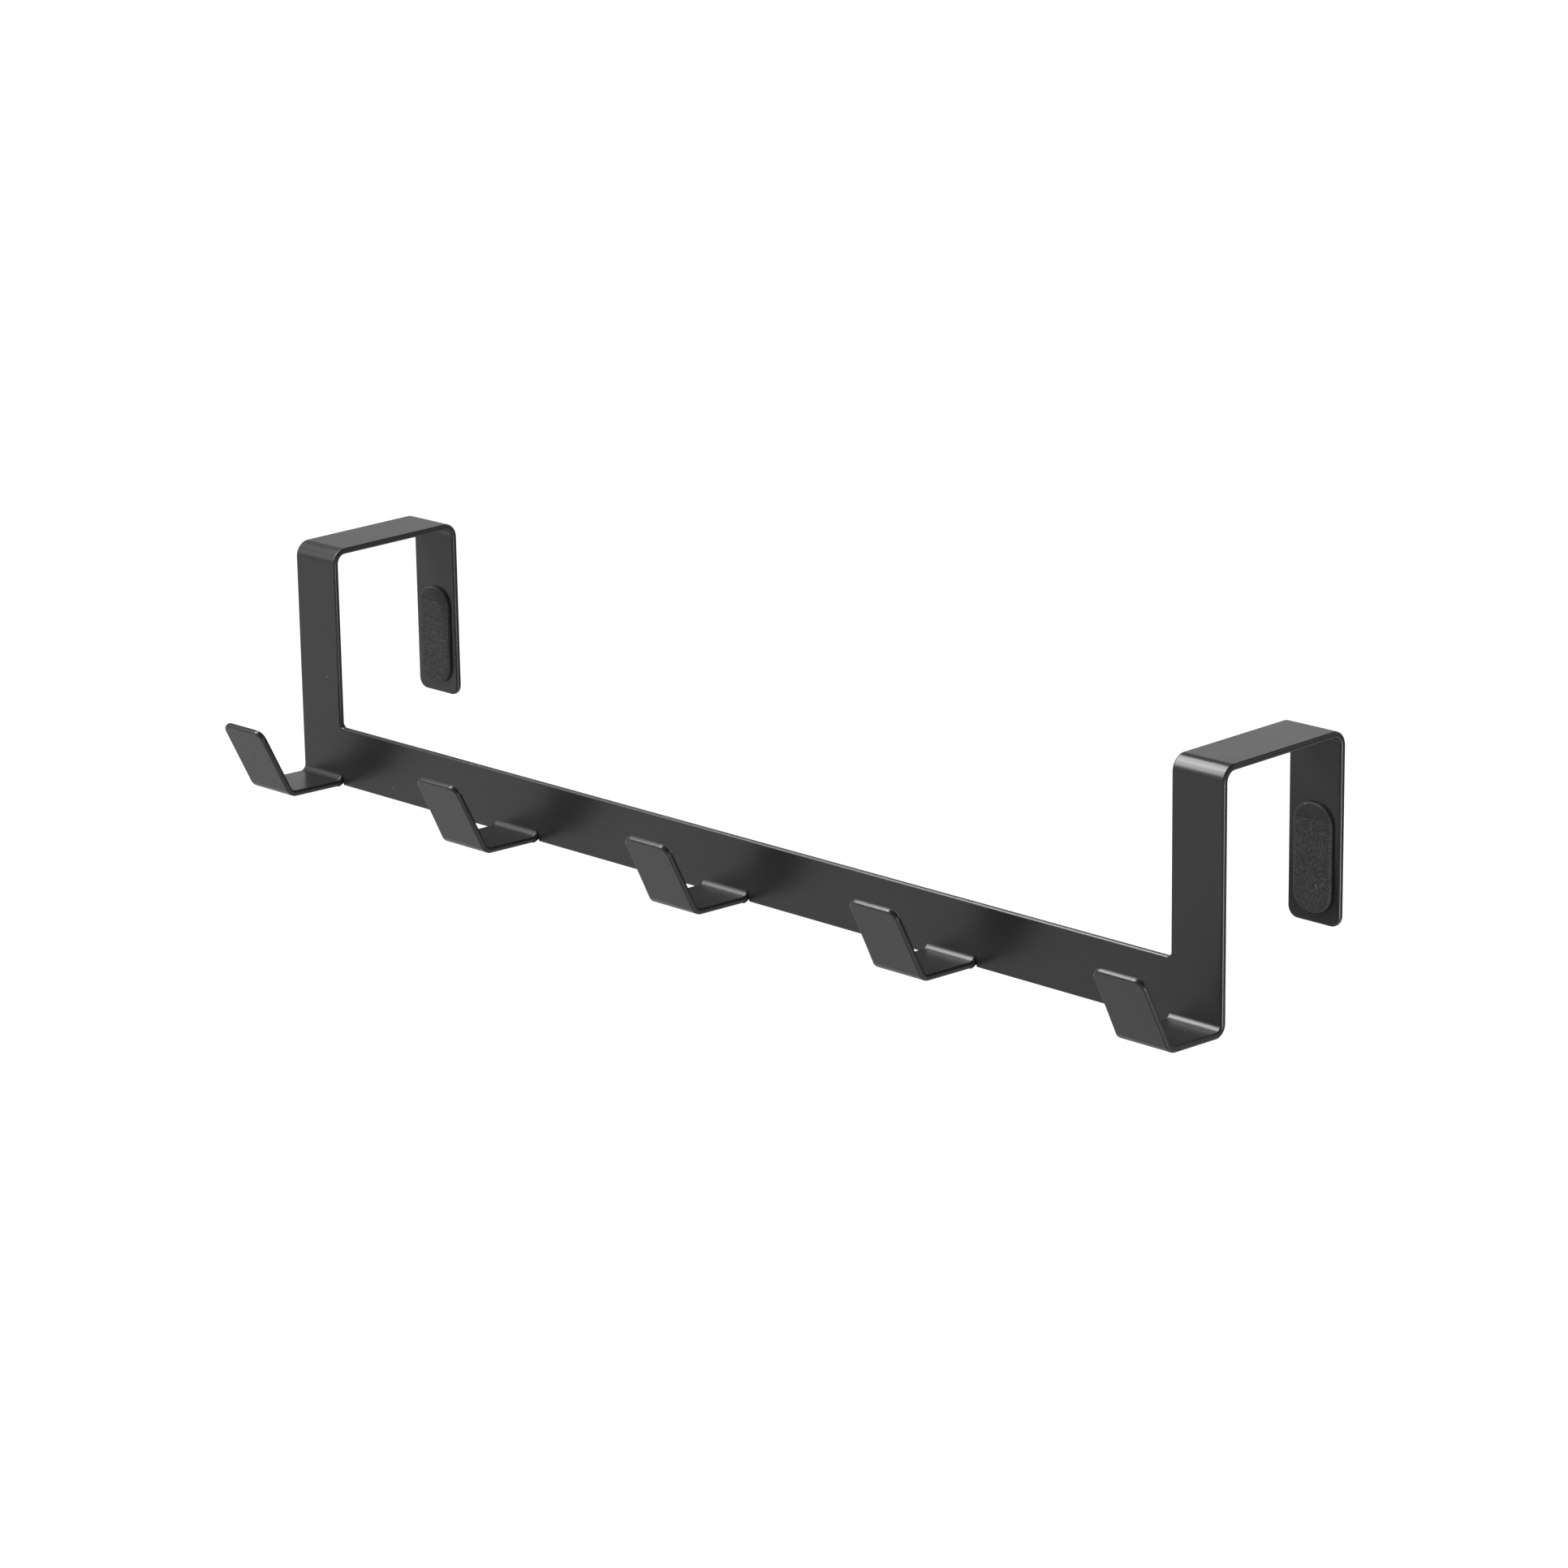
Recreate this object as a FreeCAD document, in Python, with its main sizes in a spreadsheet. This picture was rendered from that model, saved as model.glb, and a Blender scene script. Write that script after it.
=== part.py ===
import FreeCAD, Part
import Sketcher
import math
import os

# Over-door hook rail: one folded steel sheet and two foam pads, in millimetres.
#
# A bar runs along X. Tongues folded out of its lower edge are the upturned hooks. A strap at each end
# rises from its upper edge, folds back over the top of the door and comes down as a short leg.
# The origin is the centre of the bar's back face, which lies against the door. +Y points into the door
# and +Z up, and the hooks stand out towards -Y.

SIZES = (
    ("sheet", 2.0, "thickness of the coated sheet"),
    ("bend_radius", 2.0, "inside radius of the folds"),
    ("edge_break", 0.45, "bevel that breaks the sheet's cut edges"),
    ("rail_length", 400.0, "bar and straps, end to end"),
    ("bar_height", 20.0, "height of the bar"),
    ("strap_width", 19.3, "width of each strap and its leg"),
    ("strap_rise", 58.0, "bar's upper edge to the underside that sits on the door"),
    ("door_gap", 50.0, "clear gap between the plane of the bar's back and the legs"),
    ("leg_drop", 58.0, "underside that sits on the door to the leg's foot"),
    ("strap_root_radius", 1.5, "inside corner between strap and bar"),
    ("leg_corner_radius", 3.5, "corners of the leg's foot"),
    ("hook_count", 5, "hooks along the bar"),
    ("hook_width", 19.3, "width of each hook"),
    ("hook_depth", 22.3, "bar's front face to the corner under the lip"),
    ("shelf_rise", 2.0, "rise of the shelf towards the lip, in degrees"),
    ("lip_length", 27.0, "corner under the lip to its tip, along the slope"),
    ("lip_lean", 27.0, "lean of the lip away from upright, in degrees"),
    ("lip_bend_radius", 2.6, "inside radius of the fold under the lip"),
    ("lip_corner_radius", 3.2, "corners of the lip's tip"),
    ("relief_width", 0.3, "slit beside each hook's fold"),
    ("relief_rise", 0.5, "slit's reach above the fold"),
    ("pad_width", 15.5, "width of the foam pad"),
    ("pad_length", 33.5, "height of the foam pad"),
    ("pad_thickness", 1.3, "thickness of the foam pad"),
    ("pad_corner_radius", 6.5, "corners of the foam pad"),
    ("pad_foot_gap", 3.0, "leg's foot to the pad's lower end"),
)

# Places that several pieces share, as formulas of the named sizes.
BAR_BOTTOM = "-sizes.bar_height / 2"
SEAT = "sizes.bar_height / 2 + sizes.strap_rise"
FOOT = f"{SEAT} - sizes.leg_drop"
OUTER_BEND = "sizes.bend_radius + sizes.sheet"
# The hook's fold turns past square, so the corner that it rounds lies a little below the bar's edge.
FOLD_RUN = f"({OUTER_BEND}) * tan((45 + sizes.shelf_rise / 2) * 1 deg)"
FOLD_CORNER = f"{BAR_BOTTOM} + {OUTER_BEND} - {FOLD_RUN}"
RELIEF_HEIGHT = f"{OUTER_BEND} + sizes.relief_rise"

# How a sketch numbers its own centre point.
SKETCH_CENTRE = (-1, 1)
ALONG_RAIL, THROUGH_SHEET = 0, 1
# How close counts as the same place, and how far from square still counts as a sharp edge.
NEAR = 0.01
SQUARE_LIMIT = 0.5


def write_sizes(doc):
    """Keep every driving dimension in one spreadsheet, with its meaning beside it."""
    table = doc.addObject("Spreadsheet::Sheet", "sizes")
    for line, (alias, value, meaning) in enumerate(SIZES, start=1):
        table.set(f"A{line}", alias)
        table.set(f"B{line}", str(value))
        table.setAlias(f"B{line}", alias)
        table.set(f"C{line}", meaning)
    doc.recompute()
    return table


def value_of(item, formula):
    """The number that a formula of the named sizes gives now."""
    return float(item.evalExpression(formula))


def origin_feature(body, role):
    """The body's own origin plane or axis with this role."""
    return next(item for item in body.Origin.OriginFeatures if item.Role == role)


def new_sketch(body, name, plane, shift=None):
    """A sketch on one of the body's origin planes, moved along the plane's normal by a formula."""
    sketch = body.newObject("Sketcher::SketchObject", name)
    sketch.AttachmentSupport = [(origin_feature(body, plane), "")]
    sketch.MapMode = "FlatFace"
    if shift:
        sketch.setExpression("AttachmentOffset.Base.z", shift)
    return sketch


def draw_lines(sketch, corners):
    """Draw a closed outline through rough corners, its lines joined end to end."""
    places = [FreeCAD.Vector(across, up, 0) for across, up in corners]
    count = len(places)
    for index in range(count):
        sketch.addGeometry(Part.LineSegment(places[index], places[(index + 1) % count]), False)
    for index in range(count):
        relate(sketch, "Coincident", index, 2, (index + 1) % count, 1)


def relate(sketch, kind, *items):
    """Add a constraint that holds no size."""
    sketch.addConstraint(Sketcher.Constraint(kind, *items))


def measure(sketch, kind, formula, *items):
    """Add a dimension and tie it to a formula of the named sizes."""
    value = value_of(sketch, formula)
    if kind == "Angle":
        value = math.radians(value)
        formula = f"({formula}) * 1 deg"
    number = sketch.addConstraint(Sketcher.Constraint(kind, *items, value))
    sketch.setExpression(f"Constraints[{number}]", formula)


def square_outline(sketch, corners):
    """A closed outline of level and upright lines through corners that are pairs of formulas.

    The first corner is placed from the sketch's centre both ways, and each further one only along the
    line that leads to it. The last corner follows from its neighbours.
    """
    rough = [tuple(value_of(sketch, formula) for formula in corner) for corner in corners]
    draw_lines(sketch, rough)
    count = len(corners)
    upright = [abs(rough[index][0] - rough[(index + 1) % count][0]) < NEAR for index in range(count)]
    for index in range(count):
        relate(sketch, "Vertical" if upright[index] else "Horizontal", index)
    for index in range(count - 1):
        if index == 0 or not upright[index - 1]:
            across = corners[index][0]
            if across == "0":
                relate(sketch, "Vertical", *SKETCH_CENTRE, index, 1)
            else:
                measure(sketch, "DistanceX", across, *SKETCH_CENTRE, index, 1)
        if index == 0 or upright[index - 1]:
            measure(sketch, "DistanceY", corners[index][1], *SKETCH_CENTRE, index, 1)


def pad(body, name, sketch, length):
    """Thicken a sketch along its normal."""
    feature = body.newObject("PartDesign::Pad", name)
    feature.Profile = sketch
    feature.setExpression("Length", length)
    body.Document.recompute()
    return feature


def dress(body, kind, name, size, amount, choose):
    """Work on those edges of the body that the function chooses."""
    base = body.Tip
    names = [f"Edge{number}" for number, edge in enumerate(base.Shape.Edges, start=1) if choose(edge)]
    if not names:
        raise ValueError(f"{name} finds no edge")
    feature = body.newObject(kind, name)
    feature.Base = (base, names)
    feature.setExpression(size, amount)
    body.Document.recompute()


def fillet(body, name, radius, choose):
    """Round the chosen edges."""
    dress(body, "PartDesign::Fillet", name, "Radius", radius, choose)


def bevel(body, name, width, choose):
    """Bevel the chosen edges."""
    dress(body, "PartDesign::Chamfer", name, "Size", width, choose)


def repeat_along_bar(body, name, original):
    """Repeat one hook's feature, or the whole body where none is named, at every hook."""
    feature = body.newObject("PartDesign::LinearPattern", name)
    if original:
        feature.Originals = [original]
    else:
        feature.TransformMode = "Whole shape"
    feature.Direction = (origin_feature(body, "X_Axis"), [""])
    feature.setExpression("Length", "sizes.rail_length - sizes.hook_width")
    feature.setExpression("Occurrences", "sizes.hook_count")
    body.Tip = feature
    body.Document.recompute()


def runs(edge, axis):
    """Whether an edge is straight and runs along an axis, given by its number."""
    if not isinstance(edge.Curve, Part.Line):
        return False
    run = edge.Vertexes[-1].Point - edge.Vertexes[0].Point
    return abs(run[axis]) > run.Length - NEAR


def at_folds(*places):
    """A chooser of the fold lines that run along the rail through these places (y, z)."""

    def choose(edge):
        middle = edge.CenterOfMass
        at_place = any(math.hypot(middle.y - y, middle.z - z) < NEAR for y, z in places)
        return runs(edge, ALONG_RAIL) and at_place

    return choose


def at_corners(height, over_door):
    """A chooser of the edges through the sheet at this height, on the leg's side or the bar's."""

    def choose(edge):
        middle = edge.CenterOfMass
        return runs(edge, THROUGH_SHEET) and abs(middle.z - height) < NEAR and (middle.y > 0) == over_door

    return choose


def is_sharp(edge, shape):
    """Whether the two faces that meet at an edge stand square to each other there."""
    middle = edge.valueAt((edge.FirstParameter + edge.LastParameter) / 2)
    faces = shape.ancestorsOfType(edge, Part.Face)
    normals = [face.normalAt(*face.Surface.parameter(middle)) for face in faces]
    return len(normals) == 2 and abs(normals[0].dot(normals[1])) < SQUARE_LIMIT


def build_hooks(doc):
    """The row of hooks: each a tongue that is folded out into a shelf and up into a slanted lip."""
    body = doc.addObject("PartDesign::Body", "hooks")
    sheet = value_of(body, "sizes.sheet")
    corner = value_of(body, FOLD_CORNER)
    root = value_of(body, f"{BAR_BOTTOM} + {RELIEF_HEIGHT}")
    rise = math.radians(value_of(body, "sizes.shelf_rise"))
    lean = math.radians(value_of(body, "sizes.lip_lean"))
    slope = FreeCAD.Vector(-math.sin(lean), math.cos(lean), 0)
    across = FreeCAD.Vector(math.cos(lean), math.sin(lean), 0)
    reach = sheet + value_of(body, "sizes.hook_depth")
    heel = FreeCAD.Vector(-reach, corner + reach * math.tan(rise), 0)
    tip_front = heel + slope * value_of(body, "sizes.lip_length")
    tip_back = tip_front + across * sheet
    nook = heel + across * sheet + slope * (sheet * math.tan(math.pi / 4 - (lean + rise) / 2))
    crook = corner + sheet * (math.tan(rise) + 1 / math.cos(rise))

    sketch = new_sketch(body, "hook_section", "YZ_Plane", "-sizes.rail_length / 2")
    corners = [(0, root), (0, corner), (heel.x, heel.y), (tip_front.x, tip_front.y)]
    corners += [(tip_back.x, tip_back.y), (nook.x, nook.y), (-sheet, crook), (-sheet, root)]
    draw_lines(sketch, corners)
    back, underside, lip_front, tip, lip_back, shelf_top, front, top = range(len(corners))
    for line in (back, front):
        relate(sketch, "Vertical", line)
    relate(sketch, "Horizontal", top)
    relate(sketch, "Parallel", underside, shelf_top)
    relate(sketch, "Parallel", lip_front, lip_back)
    relate(sketch, "Perpendicular", lip_front, tip)
    relate(sketch, "Vertical", *SKETCH_CENTRE, back, 2)
    measure(sketch, "DistanceY", FOLD_CORNER, *SKETCH_CENTRE, back, 2)
    measure(sketch, "DistanceY", f"{BAR_BOTTOM} + {RELIEF_HEIGHT}", *SKETCH_CENTRE, back, 1)
    measure(sketch, "DistanceX", "sizes.sheet", front, 1, back, 2)
    measure(sketch, "Distance", "sizes.sheet", front, 1, underside)
    measure(sketch, "Angle", "180 - sizes.shelf_rise", underside)
    measure(sketch, "DistanceX", "sizes.hook_depth", lip_front, 1, front, 1)
    measure(sketch, "Distance", "sizes.lip_length", lip_front)
    measure(sketch, "Distance", "sizes.sheet", tip)
    measure(sketch, "Angle", "90 + sizes.lip_lean", lip_front)

    pad(body, "hook_blank", sketch, "sizes.hook_width")
    fillet(body, "hook_root_inside", "sizes.bend_radius", at_folds((-sheet, crook)))
    fillet(body, "hook_root_outside", OUTER_BEND, at_folds((0, corner)))
    fillet(body, "lip_fold_inside", "sizes.lip_bend_radius", at_folds((nook.x, nook.y)))
    fillet(body, "lip_fold_outside", "sizes.lip_bend_radius + sizes.sheet", at_folds((heel.x, heel.y)))
    tip_middle = (tip_front + tip_back) / 2

    def at_tip_corner(edge):
        middle = edge.CenterOfMass
        off = math.hypot(middle.y - tip_middle.x, middle.z - tip_middle.y)
        return off < NEAR and abs(edge.Length - sheet) < NEAR

    fillet(body, "lip_corners", "sizes.lip_corner_radius", at_tip_corner)
    blank = body.Tip.Shape

    def at_cut_edge(edge):
        at_root = all(abs(vertex.Z - root) < NEAR for vertex in edge.Vertexes)
        return is_sharp(edge, blank) and not at_root

    bevel(body, "hook_edges", "sizes.edge_break", at_cut_edge)
    repeat_along_bar(body, "hook_row", None)
    return body


def build_rail(doc, hooks):
    """The folded sheet: bar, straps over the door with their legs, slits and hooks."""
    body = doc.addObject("PartDesign::Body", "hook_rail")
    body.Label = "hook_rail"
    sheet = value_of(body, "sizes.sheet")
    gap = value_of(body, "sizes.door_gap")
    seat = value_of(body, SEAT)
    foot = value_of(body, FOOT)
    bar_top = value_of(body, "sizes.bar_height / 2")

    section = new_sketch(body, "strap_section", "YZ_Plane", "sizes.rail_length / 2 - sizes.strap_width")
    top = f"{SEAT} + sizes.sheet"
    leg_back = "sizes.door_gap + sizes.sheet"
    square_outline(section, [
        ("-sizes.sheet", BAR_BOTTOM), ("-sizes.sheet", top), (leg_back, top), (leg_back, FOOT),
        ("sizes.door_gap", FOOT), ("sizes.door_gap", SEAT), ("0", SEAT), ("0", BAR_BOTTOM),
    ])
    strap = pad(body, "strap", section, "sizes.strap_width")
    straps = body.newObject("PartDesign::Mirrored", "straps")
    straps.Originals = [strap]
    straps.MirrorPlane = (origin_feature(body, "YZ_Plane"), [""])
    body.Tip = straps
    doc.recompute()

    outline = new_sketch(body, "bar_outline", "XZ_Plane")
    left, right, bar_edge = "-sizes.rail_length / 2", "sizes.rail_length / 2", "sizes.bar_height / 2"
    square_outline(outline, [(left, BAR_BOTTOM), (right, BAR_BOTTOM), (right, bar_edge), (left, bar_edge)])
    pad(body, "bar", outline, "sizes.sheet")

    inner_folds = at_folds((0, seat), (gap, seat))
    outer_folds = at_folds((-sheet, seat + sheet), (gap + sheet, seat + sheet))
    fillet(body, "strap_inner_folds", "sizes.bend_radius", inner_folds)
    fillet(body, "strap_outer_folds", OUTER_BEND, outer_folds)
    fillet(body, "strap_roots", "sizes.strap_root_radius", at_corners(bar_top, over_door=False))
    fillet(body, "leg_corners", "sizes.leg_corner_radius", at_corners(foot, over_door=True))
    blank = body.Tip.Shape

    def at_cut_edge(edge):
        return is_sharp(edge, blank) and not runs(edge, THROUGH_SHEET)

    bevel(body, "sheet_edges", "sizes.edge_break", at_cut_edge)
    uncut = body.Tip.Shape.Volume

    slit = new_sketch(body, "relief_outline", "XZ_Plane")
    slit_left = "-sizes.rail_length / 2 - sizes.relief_width"
    slit_right = "-sizes.rail_length / 2 + sizes.hook_width + sizes.relief_width"
    below = f"{BAR_BOTTOM} - sizes.sheet"
    above = f"{BAR_BOTTOM} + {RELIEF_HEIGHT}"
    square_outline(slit, [(slit_left, below), (slit_right, below), (slit_right, above), (slit_left, above)])
    relief = body.newObject("PartDesign::Pocket", "relief")
    relief.Profile = slit
    relief.Reversed = True
    relief.setExpression("Length", "sizes.sheet")
    doc.recompute()
    repeat_along_bar(body, "relief_row", relief)
    cut = body.Tip.Shape.Volume
    if cut > uncut - NEAR:
        raise RuntimeError("the reliefs cut nothing")

    joined = body.newObject("PartDesign::Boolean", "hooks_on_bar")
    joined.setObjects([hooks])
    joined.Type = "Fuse"
    body.Tip = joined
    doc.recompute()
    added = joined.Shape.Volume - cut
    if abs(added - hooks.Shape.Volume) > NEAR or len(joined.Shape.Solids) != 1:
        raise RuntimeError("the hooks don't meet the bar edge to edge")
    return body


def build_pad(doc, name, side):
    """A foam pad, modelled from the middle of its glued face and placed on the leg at that side."""
    body = doc.addObject("PartDesign::Body", name)
    body.Label = name
    outline = new_sketch(body, f"{name}_outline", "XZ_Plane")
    half_width, half_length = "sizes.pad_width / 2", "sizes.pad_length / 2"
    square_outline(outline, [
        (f"-{half_width}", f"-{half_length}"), (half_width, f"-{half_length}"),
        (half_width, half_length), (f"-{half_width}", half_length),
    ])
    pad(body, f"{name}_foam", outline, "sizes.pad_thickness")
    fillet(body, f"{name}_corners", "sizes.pad_corner_radius", lambda edge: runs(edge, THROUGH_SHEET))
    body.setExpression("Placement.Base.x", f"{side} * (sizes.rail_length - sizes.strap_width) / 2")
    body.setExpression("Placement.Base.y", "sizes.door_gap")
    body.setExpression("Placement.Base.z", f"{FOOT} + sizes.pad_foot_gap + sizes.pad_length / 2")
    doc.recompute()
    return body


def export(bodies):
    """Check every object of the document, then write each sub-part to a file of its own."""
    doc = bodies[0].Document
    for item in doc.Objects:
        if "Invalid" in item.State or "Error" in item.State:
            raise RuntimeError(f"{item.Name} failed: {item.State}")
    os.makedirs("parts", exist_ok=True)
    for body in bodies:
        shape = body.Shape
        if shape.isNull() or not shape.isValid():
            raise RuntimeError(f"{body.Label} has no valid solid")
        shape.exportStep(f"parts/{body.Label}.step")
        print(body.Label, len(shape.Solids), "solid", len(shape.Faces), "faces", round(shape.Volume, 3), "mm3")


doc = FreeCAD.newDocument("over_door_hook_rail")
write_sizes(doc)
hooks = build_hooks(doc)
rail = build_rail(doc, hooks)
pads = [build_pad(doc, "pad_left", -1), build_pad(doc, "pad_right", 1)]
export([rail, *pads])
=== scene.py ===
import math

import bmesh
import bpy
from mathutils import Matrix, Vector


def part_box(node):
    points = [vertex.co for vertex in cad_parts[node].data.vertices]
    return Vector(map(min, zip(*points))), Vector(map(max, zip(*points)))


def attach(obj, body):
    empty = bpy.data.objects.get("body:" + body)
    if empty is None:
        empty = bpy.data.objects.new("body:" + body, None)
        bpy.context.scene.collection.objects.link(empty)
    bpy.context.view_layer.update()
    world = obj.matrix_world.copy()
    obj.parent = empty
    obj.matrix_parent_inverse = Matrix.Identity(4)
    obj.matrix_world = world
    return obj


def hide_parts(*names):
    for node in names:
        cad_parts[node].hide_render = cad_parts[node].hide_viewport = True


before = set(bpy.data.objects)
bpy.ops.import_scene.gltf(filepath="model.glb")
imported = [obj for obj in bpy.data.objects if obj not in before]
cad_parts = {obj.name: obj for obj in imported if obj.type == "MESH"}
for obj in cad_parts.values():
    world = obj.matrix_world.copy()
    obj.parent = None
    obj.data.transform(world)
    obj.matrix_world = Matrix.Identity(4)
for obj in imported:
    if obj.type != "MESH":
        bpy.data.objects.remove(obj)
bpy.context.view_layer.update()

bl_info = {
    "name": "Over-door hook rail",
    "version": (1, 0, 0),
    "blender": (4, 5, 0),
    "location": "View3D > Sidebar > Hook rail",
    "description": "Folds the steel rail, sticks its foam pads on and sets up the studio",
    "category": "Add Mesh",
}

X, Y, Z = range(3)
MM = 0.001
SHEET = 2.0 * MM
RAIL_LOW, RAIL_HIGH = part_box("hook_rail")
PAD_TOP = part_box("pad_right")[1].z

# Places this near are the same, with more room where an edge runs through the sheet's thickness.
NEAR = 0.01 * MM
CLOSE = 0.04 * MM

# Faces that meet at less than the flat turn are one, under the rounding turn they shade as one,
# and over the outline turn they meet at a cut edge of the sheet.
FLAT_TURN = math.radians(0.5)
ROUNDING_TURN = math.radians(50)
OUTLINE_TURN = math.radians(60)

# A fold is rolled in facets of about this many degrees, and in no fewer than this many.
FACET_DEGREES = 6
FEWEST_FACETS = 4

# The photograph's width and the focal length that it was taken at, both in its pixels.
PHOTO_WIDTH = 1932.0
PHOTO_FOCAL = 6643.2


class RailSizes(bpy.types.PropertyGroup):
    """The folded sheet, measured from the middle of the bar's back face."""

    length: bpy.props.FloatProperty(
        name="Length", description="Bar and straps, end to end",
        default=RAIL_HIGH.x - RAIL_LOW.x, unit="LENGTH")
    sheet: bpy.props.FloatProperty(
        name="Sheet", description="Thickness of the coated sheet", default=SHEET, unit="LENGTH")
    inner_bend: bpy.props.FloatProperty(
        name="Root bend", description="Inside radius of the folds at the hooks' roots",
        default=2.0 * MM, unit="LENGTH")
    strap_bend: bpy.props.FloatProperty(
        name="Strap bend", description="Inside radius of the straps' folds",
        default=3.0 * MM, unit="LENGTH")
    edge_round: bpy.props.FloatProperty(
        name="Edge rounding", description="Rounding of the cut edges under the coat",
        default=0.7 * MM, unit="LENGTH")
    bar_height: bpy.props.FloatProperty(
        name="Bar height", description="Height of the bar", default=-2 * RAIL_LOW.z, unit="LENGTH")
    strap_width: bpy.props.FloatProperty(
        name="Strap width", description="Width of each strap and its leg",
        default=19.3 * MM, unit="LENGTH")
    seat: bpy.props.FloatProperty(
        name="Seat", description="Height of the underside that sits on the door",
        default=RAIL_HIGH.z - SHEET, unit="LENGTH")
    door_gap: bpy.props.FloatProperty(
        name="Door gap", description="Clear gap between the bar's plane and the legs",
        default=RAIL_HIGH.y - SHEET, unit="LENGTH")
    leg_drop: bpy.props.FloatProperty(
        name="Leg drop", description="From the seat down to the leg's foot",
        default=58.0 * MM, unit="LENGTH")
    hook_count: bpy.props.IntProperty(
        name="Hooks", description="Hooks along the bar", default=5, min=2)
    hook_width: bpy.props.FloatProperty(
        name="Hook width", description="Width of each hook", default=19.3 * MM, unit="LENGTH")
    hook_depth: bpy.props.FloatProperty(
        name="Hook depth", description="Bar's front to the corner under the lip",
        default=22.3 * MM, unit="LENGTH")
    shelf_rise: bpy.props.FloatProperty(
        name="Shelf rise", description="Rise of the shelf towards the lip",
        default=math.radians(2), subtype="ANGLE")
    lip_bend: bpy.props.FloatProperty(
        name="Lip bend", description="Inside radius of the fold under the lip",
        default=2.6 * MM, unit="LENGTH")
    lip_length: bpy.props.FloatProperty(
        name="Lip length", description="Corner under the lip to its tip",
        default=27.0 * MM, unit="LENGTH")
    lip_lean: bpy.props.FloatProperty(
        name="Lip lean", description="Lean of the lip away from upright",
        default=math.radians(27), subtype="ANGLE")
    slit_width: bpy.props.FloatProperty(
        name="Slit width", description="Slit beside each hook's fold",
        default=0.08 * MM, unit="LENGTH")
    slit_rise: bpy.props.FloatProperty(
        name="Slit rise", description="Slit's reach above the fold", default=0.1 * MM, unit="LENGTH")
    lip_corner: bpy.props.FloatProperty(
        name="Lip corner", description="Corners of the lip's tip", default=3.2 * MM, unit="LENGTH")
    leg_corner: bpy.props.FloatProperty(
        name="Leg corner", description="Corners of the leg's foot", default=3.5 * MM, unit="LENGTH")
    strap_root: bpy.props.FloatProperty(
        name="Strap root", description="Inside corner between strap and bar",
        default=1.5 * MM, unit="LENGTH")


class PadSizes(bpy.types.PropertyGroup):
    """The foam pads inside the legs."""

    side_margin: bpy.props.FloatProperty(
        name="Side margin", description="Foam drawn in at each side",
        default=0.9 * MM, unit="LENGTH")
    end_margin: bpy.props.FloatProperty(
        name="End margin", description="Foam drawn in at its lower end",
        default=0.4 * MM, unit="LENGTH")
    corner: bpy.props.FloatProperty(
        name="Corner", description="Corners of the die-cut foam", default=6.2 * MM, unit="LENGTH")
    rim: bpy.props.FloatProperty(
        name="Rim", description="Softness of the foam's cut rim", default=0.45 * MM, unit="LENGTH")
    crown: bpy.props.FloatProperty(
        name="Crown", description="Swell of the foam's middle over its rim",
        default=0.12 * MM, unit="LENGTH")
    crease_drop: bpy.props.FloatProperty(
        name="Crease", description="From the pad's upper end down to its crease",
        default=4.9 * MM, unit="LENGTH")
    crease_start: bpy.props.FloatProperty(
        name="Crease start", description="From the pad's left side to its crease",
        default=2.0 * MM, unit="LENGTH")
    crease_length: bpy.props.FloatProperty(
        name="Crease length", description="Length of the crease", default=7.5 * MM, unit="LENGTH")
    crease_width: bpy.props.FloatProperty(
        name="Crease width", description="Half the crease's width",
        default=0.3 * MM, unit="LENGTH")
    crease_depth: bpy.props.FloatProperty(
        name="Crease depth", description="Depth of the crease", default=0.3 * MM, unit="LENGTH")


class Finishes(bpy.types.PropertyGroup):
    """Colours and gloss of the coat and the foam."""

    coat: bpy.props.FloatVectorProperty(
        name="Coat", description="Colour of the powder coat", subtype="COLOR", size=4,
        default=(0.0122, 0.0122, 0.0127, 1.0), min=0.0, max=1.0)
    coat_dust: bpy.props.FloatVectorProperty(
        name="Coat specks", description="Colour of the tiny pale specks in the coat",
        subtype="COLOR", size=4, default=(0.16, 0.16, 0.16, 1.0), min=0.0, max=1.0)
    coat_roughness: bpy.props.FloatProperty(
        name="Coat roughness", description="Roughness of the powder coat", default=0.31,
        subtype="FACTOR", min=0.0, max=1.0)
    foam: bpy.props.FloatVectorProperty(
        name="Foam", description="Colour of the foam", subtype="COLOR", size=4,
        default=(0.027, 0.027, 0.028, 1.0), min=0.0, max=1.0)
    foam_glint: bpy.props.FloatVectorProperty(
        name="Foam glints", description="Colour of the foam's lit cell walls", subtype="COLOR",
        size=4, default=(0.13, 0.13, 0.132, 1.0), min=0.0, max=1.0)
    foam_dust: bpy.props.FloatVectorProperty(
        name="Foam flecks", description="Colour of the few pale flecks on the foam",
        subtype="COLOR", size=4, default=(0.45, 0.45, 0.45, 1.0), min=0.0, max=1.0)


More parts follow.
